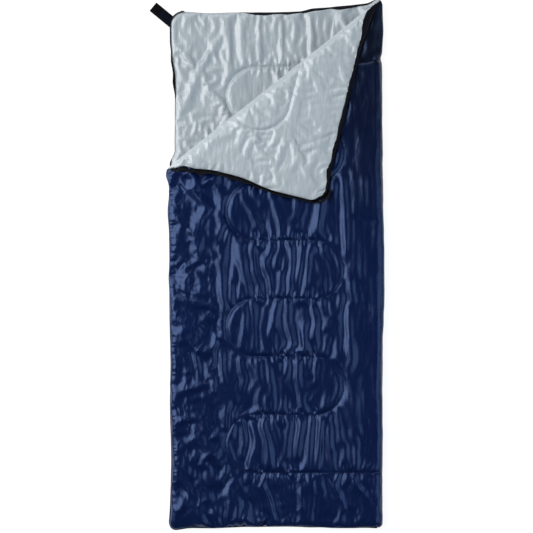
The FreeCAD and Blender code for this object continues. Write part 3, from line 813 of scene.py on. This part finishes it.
def under_lining():
    x, y, sewn = plan(FINE)
    gap = edge_distance(x, y)[0]
    z = under_level(x, y)
    x, y = settle(*roll_in(x, y, corner_roll), turned_side)
    along, beyond = crease_place(x, y)
    z = crease_bend(z, along, beyond)
    rest = np.stack([x, y, z], axis=-1)
    corner = mix(0.3, 1, smooth((beyond + 0.02) / 0.04))
    vary = 1 + 0.9 * noise(x, y, 0.06, 38)
    slack_x = mix(0.01, 0.035, corner) * vary
    slack_y = mix(0.01, 0.03, corner) * vary
    lying_x, lying_y = x - 2 * beyond * CREASE_NORMAL.x, y - 2 * beyond * CREASE_NORMAL.y
    target = 0.8 * crumples(lying_x, lying_y, LARGE, 38)
    target += 1.3 * creases(lying_x, lying_y, CORNER_CREASES)
    target *= -corner
    pinned = sewn | (gap < OUTLINE_GAP)
    shape = relax(rest, pinned, slack_x, slack_y, target, 42, LINING_STEPS)
    shape = mix(rest, shape, smooth(np.abs(beyond) / CREASE_FADE)[..., None])
    shape[..., 2] = -soft_limit(-shape[..., 2], -LINING_GAP_TOP, GAP_MARGIN)
    return shape


def bottom_lining():
    x, y, sewn = plan(FINE)
    gap = edge_distance(x, y)[0]
    full = mix(BOTTOM_SEAM, BOTTOM_FACE + 0.0004, padding(x, y, 0.5))
    z = mix(fold_seam(x, BOTTOM_SEAM), full, rim_profile(gap + seam_roll(x, y), RIM))
    ridges = puckers(x, y, 44)
    z += PUCKERS_PADDED * ridges * smooth(gap / 0.02)
    x, y = settle(*roll_in(x, y, seam_roll), open_side)
    rest = np.stack([x, y, z], axis=-1)
    _, beyond = crease_place(x, y)
    corner = mix(0.3, 1, smooth((beyond + 0.05) / 0.05))
    vary = 1 + 0.9 * noise(x, y, 0.06, 37)
    slack_x = mix(0.01, 0.04, corner) * vary
    slack_y = mix(0.01, 0.02, corner) * vary
    target = crumples(x, y, LARGE, 39) + 0.6 * folds(x, y, 39) + ridges
    target = (target + creases(x, y, LINING_CREASES)) * corner
    pinned = sewn | (gap < OUTLINE_GAP)
    shape = relax(rest, pinned, slack_x, slack_y, target, 43, LINING_STEPS)
    shape[..., 2] += PUCKERS_ADDED * ridges
    shape[..., 2] = soft_limit(shape[..., 2], LINING_GAP_BOTTOM, GAP_MARGIN)
    return shape


def bottom_shell():
    x, y, _ = plan(COARSE)
    gap = edge_distance(x, y)[0]
    full = mix(BOTTOM_SEAM, 0.0, padding(x, y, 0.4))
    z = mix(fold_seam(x, BOTTOM_SEAM), full, rim_profile(gap, mix(RIM, 0.05, near_fold(x))))
    z += 0.0008 * (1 + noise(x, y, 0.03, 35)) * smooth(gap / 0.03)
    x, y = settle(x, y, open_side)
    return np.stack([x, y, z], axis=-1)


# Creases as points in plan on the closed panel, then half width and height.
SHELL_CREASES = [
    ((-0.3, 0.275), (-0.24, 0.3), (-0.19, 0.32), 0.014, 0.006),
    ((-0.275, 0.27), (-0.22, 0.2), 0.02, 0.004),
    ((-0.28, 0.15), (-0.26, 0.09), 0.02, 0.004),
    ((-0.32, -0.15), (-0.27, -0.26), 0.022, 0.004),
    ((-0.29, 0.0), (-0.21, 0.035), 0.007, -0.005),
    ((-0.35, -0.08), (-0.22, -0.12), 0.007, -0.005),
    ((-0.28, -0.13), (-0.2, -0.16), 0.006, -0.004),
    ((-0.125, 0.27), (-0.09, 0.21), (-0.05, 0.12), 0.01, 0.005),
    ((-0.09, 0.275), (-0.03, 0.22), 0.009, 0.004),
    ((-0.36, -0.88), (-0.3, -0.78), 0.012, 0.005),
    ((-0.33, -0.88), (-0.24, -0.8), 0.01, 0.004),
    ((0.255, 0.18), (0.345, 0.165), 0.006, -0.004),
    ((0.24, -0.12), (0.31, -0.135), 0.006, -0.004),
    ((0.3, 0.33), (0.305, 0.21), 0.009, 0.004),
    ((0.235, 0.32), (0.245, 0.04), 0.01, 0.004),
    ((0.25, -0.13), (0.262, -0.32), 0.014, 0.005),
    ((-0.351, -0.65), (-0.27, -0.74), (-0.195, -0.84), 0.013, 0.007),
    ((-0.281, -0.56), (-0.23, -0.64), (-0.177, -0.7), 0.012, 0.006),
    ((-0.355, -0.77), (-0.29, -0.83), (-0.25, -0.885), 0.011, 0.006),
    ((-0.16, -0.71), (-0.1, -0.78), (-0.038, -0.84), 0.01, 0.005),
    ((0.19, -0.735), (0.24, -0.83), 0.011, 0.005),
    ((0.25, -0.72), (0.32, -0.8), 0.011, 0.005),
]
LINING_CREASES = [
    ((-0.165, 0.88), (-0.16, 0.6), 0.009, 0.004),
    ((-0.18, 0.83), (-0.265, 0.7), (-0.33, 0.54), 0.012, 0.006),
    ((-0.265, 0.7), (-0.23, 0.62), (-0.145, 0.54), 0.01, 0.005),
    ((-0.36, 0.8), (-0.28, 0.7), 0.01, 0.004),
    ((-0.36, 0.72), (-0.29, 0.62), 0.01, 0.003),
    ((-0.12, 0.86), (-0.12, 0.72), 0.007, 0.003),
    ((-0.06, 0.87), (-0.055, 0.71), 0.007, 0.003),
    ((0.02, 0.87), (0.02, 0.74), 0.007, 0.003),
]
# These are on the turned corner as it lies.
CORNER_CREASES = [
    ((0.07, 0.59), (-0.02, 0.415), 0.011, 0.0032),
    ((0.088, 0.625), (0.05, 0.5), (-0.004, 0.345), 0.013, 0.0034),
    ((0.12, 0.56), (0.165, 0.505), 0.028, 0.005),
    ((0.135, 0.67), (0.185, 0.56), 0.009, 0.004),
    ((0.18, 0.448), (0.1, 0.414), 0.005, 0.003),
    ((0.19, 0.48), (0.115, 0.452), 0.005, 0.003),
    ((0.23, 0.62), (0.17, 0.6), 0.005, 0.003),
    ((-0.3, 0.4), (-0.12, 0.375), (0.000, 0.32), 0.02, 0.004),
    ((-0.24, 0.44), (-0.16, 0.47), 0.012, 0.003),
    ((0.02, 0.33), (0.15, 0.285), 0.014, 0.0035),
    ((0.06, 0.44), (0.12, 0.3), 0.01, 0.003),
]


def build_panels():
    """The six pieces of cloth, and the surface that each whole panel's pieces are cut from."""
    shapes = {
        "top_shell": top_shell(),
        "top_lining": under_lining(),
        "bottom_lining": bottom_lining(),
        "bottom_shell": bottom_shell(),
    }
    made = {}
    for name, shape in shapes.items():
        piece, top = name + "_cloth", name.startswith("top")
        if name.endswith("shell"):
            made[piece] = shell_surface(piece, shape, corner_roll if top else seam_roll, top)
        else:
            faces = grid_faces(*shape.shape[:2], flip=top)
            made[piece] = new_mesh(piece, shape, faces, SILVER)
    for side in ("shell", "lining"):
        piece = f"corner_{side}_cloth"
        made[piece] = cut_at_crease(made[f"top_{side}_cloth"], piece)
    # The turned corner's lining gets the lighter copy with painted light.
    made["corner_lining_cloth"].data.materials[0] = SILVER_PAINTED_LIGHTER
    return made, shapes


def crease_fold(name, half_height, reach, width, length, used):
    """The cloth's turn round the crease, from the top panel to its turned corner.

    In section it is the end of an ellipse that is centred width in from the crease's axis.
    """
    along = np.linspace(0, length, 240)[:, None]
    open_angle = np.arccos(width / (width + reach(along)))
    turn = np.linspace(-1, 1, 17)[None] * open_angle
    out = (width + reach(along)) * np.cos(turn) - width
    x = CREASE_START.x + CREASE_WAY.x * along
    y = CREASE_START.y + CREASE_WAY.y * along
    z = CREASE_START.z + half_height(x, y) * np.sin(turn)
    points = np.stack([x + CREASE_NORMAL.x * out, y + CREASE_NORMAL.y * out, z], axis=-1)
    return new_mesh(name, points, grid_faces(*turn.shape), used)


SHELL_FOLD_REACH = 0.002
panels, shapes = build_panels()
# The crease's lining fold also uses the lighter copy with painted light.
lining_fold = crease_fold(
    "crease_lining_fold", lambda x, y: CREASE_START.z - under_level(x, y),
    crease_reach, CREASE_WIDTH, CREASE_LENGTH - RIM, SILVER_PAINTED_LIGHTER,
)
shell_fold = crease_fold(
    "crease_shell_fold", lambda x, y: CREASE_START.z - SHELL_CREASE_Z,
    lambda along: SHELL_FOLD_REACH + 0 * along, 0, CREASE_LENGTH, NAVY,
)

# -------- stitches


def surface_at(shape, x, y, spacing=FINE):
    """Points of a panel's surface over plan points of the flat panel."""
    rows, columns = shape.shape[:2]
    i = np.interp(x, axis_steps(HALF_W, spacing), np.arange(columns))
    j = np.interp(y, axis_steps(HALF_L, spacing), np.arange(rows))
    i0, j0 = np.minimum(i.astype(int), columns - 2), np.minimum(j.astype(int), rows - 2)
    a, b = (i - i0)[:, None], (j - j0)[:, None]
    low = mix(shape[j0, i0], shape[j0, i0 + 1], a)
    high = mix(shape[j0 + 1, i0], shape[j0 + 1, i0 + 1], a)
    return mix(low, high, b)


STITCH_STEP = 0.004
STITCH_LENGTH = 0.0033
STITCH_WIDTH = 0.0012
STITCH_LIFT = 0.0003
STITCH_FACES = [
    (0, 2, 4), (0, 4, 3), (0, 3, 5), (0, 5, 2), (1, 4, 2), (1, 3, 4), (1, 5, 3), (1, 2, 5),
]


def stitches(name, centres, ways, lift, used):
    """Small spindles of thread along a line of centres."""
    ways = unit(ways)
    across = np.stack([-ways[:, 1], ways[:, 0], ways[:, 2] * 0], axis=1)
    up = np.array([0, 0, 1.0])
    centres = centres + up * lift
    points = np.stack([
        centres - ways * STITCH_LENGTH / 2,
        centres + ways * STITCH_LENGTH / 2,
        centres - across * STITCH_WIDTH / 2,
        centres + across * STITCH_WIDTH / 2,
        centres + up * STITCH_WIDTH / 2,
        centres - up * STITCH_WIDTH / 2,
    ], axis=1)
    faces = np.array(STITCH_FACES)[None] + 6 * np.arange(len(centres))[:, None, None]
    return new_mesh(name, points, faces.reshape(-1, 3), used)


# How far past the crease the stitches of each part are.
ON_TOP, ON_CORNER, ANYWHERE = (-9, -0.002), (0.002, 9), (-9, 9)
# Each side's stitching: which way it stands out, and its part of the panel.
STITCHING = {
    "top_shell": (STITCH_LIFT, ON_TOP),
    "top_lining": (-STITCH_LIFT, ON_TOP),
    "corner_shell": (STITCH_LIFT, ON_CORNER),
    "corner_lining": (-STITCH_LIFT, ON_CORNER),
    "bottom_lining": (STITCH_LIFT, ANYWHERE),
    "bottom_shell": (-STITCH_LIFT, ANYWHERE),
}
thread = {}
for place, (lift, (low, high)) in STITCHING.items():
    spacing = COARSE if place == "bottom_shell" else FINE
    shape = shapes[place.replace("corner", "top")]
    centres = surface_at(shape, *quilt_path(STITCH_STEP).T, spacing)
    beyond = crease_place(centres[:, 0], centres[:, 1])[1]
    kept = (beyond > low) & (beyond < high)
    ways = np.gradient(centres, axis=0)
    piece, used = place + "_stitches", THREAD if place.endswith("shell") else PALE_THREAD
    thread[piece] = stitches(piece, centres[kept], ways[kept], lift, used)
for side in ("shell", "lining"):
    thread[f"corner_{side}_stitches"].data.transform(TURN_BACK)

# -------- zip

ZIP_FOOT_X = 0.352
HEAD_RADIUS = CORNERS[0][2]
FOOT_RADIUS = CORNERS[1][2]


def zip_path(step):
    """The zip's line round the panel: from the head edge, down the zip side, to the foot."""

    def corner(cx, cy, radius, start):
        quarter = math.pi / 2
        turns = np.linspace(start, start + quarter, int(radius * quarter / step), endpoint=False)
        return [
            (cx + radius * math.cos(t), cy + radius * math.sin(t), math.cos(t), math.sin(t))
            for t in turns
        ]

    points = corner(HEAD_RADIUS - HALF_W, HALF_L - HEAD_RADIUS, HEAD_RADIUS, math.pi / 2)
    side = np.arange(HALF_L - HEAD_RADIUS, FOOT_RADIUS - HALF_L, -step)
    points += [(-HALF_W, y, -1, 0) for y in side]
    points += corner(FOOT_RADIUS - HALF_W, FOOT_RADIUS - HALF_L, FOOT_RADIUS, math.pi)
    points += [(x, -HALF_L, 0, -1) for x in np.arange(FOOT_RADIUS - HALF_W, ZIP_FOOT_X, step)]
    return np.array(points)


def side_flare(x, y):
    """How far the bottom panel's tape leans outward: most where the zip is open."""
    free = 0.0065 * smooth((y - 0.6) / 0.06) * smooth((0.765 - y) / 0.05)
    free = free * (1 + 0.4 * noise(x, y, 0.03, 61))
    return free + closed_flare(x, y) * (1 - smooth((y - 0.32) / 0.03))


def corner_flare(x, y):
    """How far the turned corner's free tape leans outward, ruffled by its sewing."""
    ruffle = 0.35 * noise(x, y, 0.016, 62) + 0.25 * noise(x, y, 0.04, 63)
    width = 0.0085 + 0.007 * bump(y - 0.45, 0.13)
    return width * (1 + ruffle) * smooth((y - CREASE_START.y) / 0.02)


def tucked(y):
    """Where the open zip's tape on the bottom panel is turned down under its rim."""
    return smooth((0.62 - y) / 0.06) * smooth((y - 0.37) / 0.03)


def closed_flare(x, y):
    """How far the closed chain bulges out from between the two panels."""
    return 0.001 + 0.0004 * noise(x, y, 0.05, 65)


def tape_points(path, lanes, flare):
    """A tape's rows of points: lanes are (share of the way to the coil, offset out, z)."""
    x, y, out_x, out_y = path.T
    below = lanes[0][2] < CHAIN_Z
    base_x, base_y = settle(x, y, open_side if below else turned_side)
    lean = flare(x, y)
    rows = []
    for share, offset, z in lanes:
        out = offset + lean * share + 0.0006 * share * noise(x, y, 0.02, 64)
        level = mix(z, 0.0125 - 0.45 * z, tucked(y)) if below else z + 0 * x
        rows.append(np.stack([base_x + out_x * out, base_y + out_y * out, level], axis=1))
    return np.stack(rows, axis=1)


TAPE_THICKNESS = 0.0009


def tape(name, path, sewn_z, free_z, flare):
    """A woven tape: up its inner side and down its outer side."""
    shares = np.linspace(0, 1, 6)
    inner = [(s, 0.0002 - 0.001 * s, mix(sewn_z, free_z, s)) for s in shares]
    outer = [(share, offset + TAPE_THICKNESS, z) for share, offset, z in reversed(inner)]
    loop = inner + outer + inner[:1]
    points = tape_points(path, loop, flare)
    faces = grid_faces(*points.shape[:2], flip=sewn_z > free_z)
    return new_mesh(name, points, faces, TAPE)


TOOTH_STEP = 0.002
TOOTH_HALF_LENGTH = 0.00055
TOOTH_SIDES = (-0.0017, 0.0007)
TOOTH_SLANT = 0.0004
TOOTH_FACES = [
    (0, 1, 3, 2), (4, 6, 7, 5), (0, 4, 5, 1), (2, 3, 7, 6), (0, 2, 6, 4), (1, 5, 7, 3),
]


def teeth(name, path, free_z, chain_z, flare):
    """A coil: slanted turns of nylon along the tape's free edge."""
    lanes = [(1.0, offset, z) for offset in TOOTH_SIDES for z in (free_z, chain_z)]
    along = unit(np.gradient(path[:, :2], axis=0))
    slant = np.array([0.0, TOOTH_SLANT, 0.0, TOOTH_SLANT])
    points = []
    for shift in (-TOOTH_HALF_LENGTH, TOOTH_HALF_LENGTH):
        spots = tape_points(path, lanes, flare)
        spots[:, :, :2] += along[:, None, :] * (shift + slant[None, :, None])
        points.append(spots)
    points = np.concatenate(points, axis=1)
    faces = np.array(TOOTH_FACES)[None] + 8 * np.arange(len(path))[:, None, None]
    return new_mesh(name, points, faces.reshape(-1, 4), COIL)


TAPE_STEP = 0.004
TAPE_LOW, TAPE_HIGH = levels("zip_tape_bottom")
TOP_TAPE = levels("zip_tape_top")[::-1]
TOP_COIL = (levels("zip_tape_top")[0], levels("zip_coil_top")[0])
CUT_LOW, CUT_HIGH = CREASE_START.y - 0.006, CREASE_START.y + 0.002
COIL_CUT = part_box("zip_coil_top")[1].y

# For each CAD node: how its piece is made, the piece's name, its stretch of y, the levels of
# both its sides, and how far it leans out.
ZIP = {
    "zip_tape_bottom": (tape, "bottom_tape", -1, 1, (TAPE_LOW, TAPE_HIGH), side_flare),
    "zip_tape_top": (tape, "top_tape", -1, CUT_LOW, TOP_TAPE, closed_flare),
    "zip_tape_corner": (tape, "corner_tape", CUT_HIGH, 1, TOP_TAPE, corner_flare),
    "zip_coil_bottom": (
        teeth, "bottom_teeth", -1, 1, (TAPE_HIGH, levels("zip_coil_bottom")[1]), side_flare),
    "zip_coil_top": (teeth, "top_teeth", -1, COIL_CUT, TOP_COIL, closed_flare),
    "zip_coil_corner": (teeth, "corner_teeth", CUT_HIGH, 1, TOP_COIL, corner_flare),
}
zip_parts = {}
for replaced, (make, name, low, high, sides, flare) in ZIP.items():
    path = zip_path(TAPE_STEP if make is tape else TOOTH_STEP)
    path = path[(path[:, 1] >= low) & (path[:, 1] < high)]
    zip_parts[replaced] = make(name, path, *sides, flare)
for name in ("zip_tape_corner", "zip_coil_corner"):
    zip_parts[name].data.transform(TURN_BACK)

# -------- tab

TAB_ROOT = Vector((-0.336, 0.84, sum(levels("tab_base")) / 2))
TAB_ANGLE = math.radians(140.5)
TAB_HALF_WIDTH = 0.019
TAB_HALF_THICKNESS = 0.0008
PATCH_HALF_WIDTH = 0.017
PATCH_HALF_THICKNESS = 0.0007
TAB_WAVE, TAB_WAVE_RATE = 0.0008, 90
STRAP_ROWS, STRAP_TURNS = 30, 25


def strap(name, start, end, half_width, half_thickness, lift, used, under=None):
    """A flat strap along the tab's line, with rounded selvedges: loose, or laid on a surface."""
    rows, turns = np.linspace(start, end, STRAP_ROWS), np.linspace(0, 2 * math.pi, STRAP_TURNS)
    along, turn = np.meshgrid(rows, turns, indexing="ij")
    side = np.where(np.abs(np.cos(turn)) < 0.9, np.cos(turn) ** 3, np.sign(np.cos(turn)))
    side = side * half_width
    x = (TAB_ROOT.x + math.cos(TAB_ANGLE) * along - math.sin(TAB_ANGLE) * side).ravel()
    y = (TAB_ROOT.y + math.sin(TAB_ANGLE) * along + math.cos(TAB_ANGLE) * side).ravel()
    if under is None:
        z = TAB_ROOT.z + TAB_WAVE * np.sin(along.ravel() * TAB_WAVE_RATE)
        points = np.stack([x, y, z], axis=1)
    else:
        points = surface_at(under, x, y)
    points[:, 2] += lift + np.sin(turn).ravel() * half_thickness
    faces = [tuple(f) for f in grid_faces(STRAP_ROWS, STRAP_TURNS)]
    last = (STRAP_ROWS - 1) * STRAP_TURNS
    faces.append(tuple(range(STRAP_TURNS - 1)))
    faces.append(tuple(range(last + STRAP_TURNS - 2, last - 1, -1)))
    return new_mesh(name, points, faces, used)


def webbing(name, start, end):
    return strap(name, start, end, TAB_HALF_WIDTH, TAB_HALF_THICKNESS, 0, WEBBING)


def patch(name, start, end, lift, under=None):
    return strap(name, start, end, PATCH_HALF_WIDTH, PATCH_HALF_THICKNESS, lift, HOOKS, under)


# For each CAD node of the tab: the piece's body, its slot, and the piece.
tab_parts = {
    "tab_sewn_end": ("bottom", "webbing", webbing("tab_sewn", 0.03, 0.047)),
    "tab_base": ("tab_base", "webbing", webbing("tab_inner", 0.047, 0.087)),
    "tab_end": ("tab_end", "webbing", webbing("tab_outer", 0.0868, 0.122)),
    "hook_patch": ("tab_end", "hook_tape", patch("tab_hooks", 0.0905, 0.1205, 0.0014)),
    "loop_patch": (
        "corner", "loop_tape", patch("corner_loops", -0.01, 0.031, 0.001, shapes["top_shell"])),
}
tab_parts["loop_patch"][-1].data.transform(TURN_BACK)

# -------- bodies

for panel, folded in (("top", ["side_fold_top"]), ("bottom", ["side_fold_bottom"]), ("corner", [])):
    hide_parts(f"{panel}_shell", f"{panel}_insulation", *folded, f"{panel}_lining")
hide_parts("turn_fold_top", "turn_fold_corner")


def hang(panel, piece):
    """Lets a turned corner's piece ride the corner's body; the top and bottom panels' pieces stay
    where they are.
    """
    if panel == "corner":
        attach(piece, "corner")
    elif panel == "top":
        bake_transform(piece)
    else:
        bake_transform(piece)


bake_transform(lining_fold)
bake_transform(shell_fold)
for side in ("shell", "lining"):
    for panel in ("top", "bottom", "corner"):
        cloth = panels[f"{panel}_{side}_cloth"]
        hang(panel, cloth)
        hang(panel, thread[f"{panel}_{side}_stitches"])
for body, name in (("top", "top_shell"), ("bottom", "bottom_lining"), ("corner", "corner_shell")):
    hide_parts(f"{body}_quilting_thread")
for replaced, made in zip_parts.items():
    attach(made, replaced.split("_")[-1])
    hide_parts(replaced)
for replaced, (body, slot, made) in tab_parts.items():
    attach(made, body)
    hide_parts(replaced)
for name, used in {
    "zip_stop_bottom": METAL, "zip_stop_corner": METAL, "zip_box": COIL, "zip_pin": COIL,
    "zip_slider": METAL, "outer_puller": METAL, "inner_puller": METAL,
}.items():
    cad = frame["nodes"][name]
    cad.data.materials.clear()
    cad.data.materials.append(used)

# -------- floor, light, camera

FLOOR_HALF, FLOOR_Z = 60, -0.0005
floor = new_mesh(
    "floor",
    [(x * FLOOR_HALF, y * FLOOR_HALF, FLOOR_Z) for x, y in ((-1, -1), (1, -1), (1, 1), (-1, 1))],
    [(0, 1, 2, 3)],
    FLOOR,
)


def area_light(name, place, size, power, color=(1, 1, 1)):
    """A square light that looks at the origin."""
    data = bpy.data.lights.new(name, "AREA")
    data.color = color
    data.size = size
    data.energy = power
    light = placed(name, data)
    light.location = place
    light.rotation_euler = (-Vector(place)).to_track_quat("-Z", "Y").to_euler()


area_light("key light", (-3.2, 1.0, 3.0), 4.0, 182)
area_light("fill light", (3.4, -0.8, 2.6), 3.0, 44, (0.65, 0.8, 1.0))
area_light("head light", (-0.4, 4.2, 3.0), 2.4, 34)

world = bpy.data.worlds.new("studio")
bpy.context.scene.world = world
world.use_nodes = True
set_inputs(world.node_tree.nodes["Background"], {"Color": (1, 1, 1, 1), "Strength": 0.1})

VIEW_WIDTH = 1.852
VIEW_CENTRE = (-0.033, 0.009)
CAMERA_HEIGHT = 6.0
SENSOR_WIDTH = 36
camera_data = bpy.data.cameras.new("camera")
camera_data.sensor_width = SENSOR_WIDTH
camera_data.lens = SENSOR_WIDTH * CAMERA_HEIGHT / VIEW_WIDTH
camera_data.clip_end = 50
camera = placed("camera", camera_data)
camera.location = (*VIEW_CENTRE, CAMERA_HEIGHT + TOP_FACE)
bpy.context.scene.camera = camera
bpy.context.scene.view_settings.view_transform = "Standard"
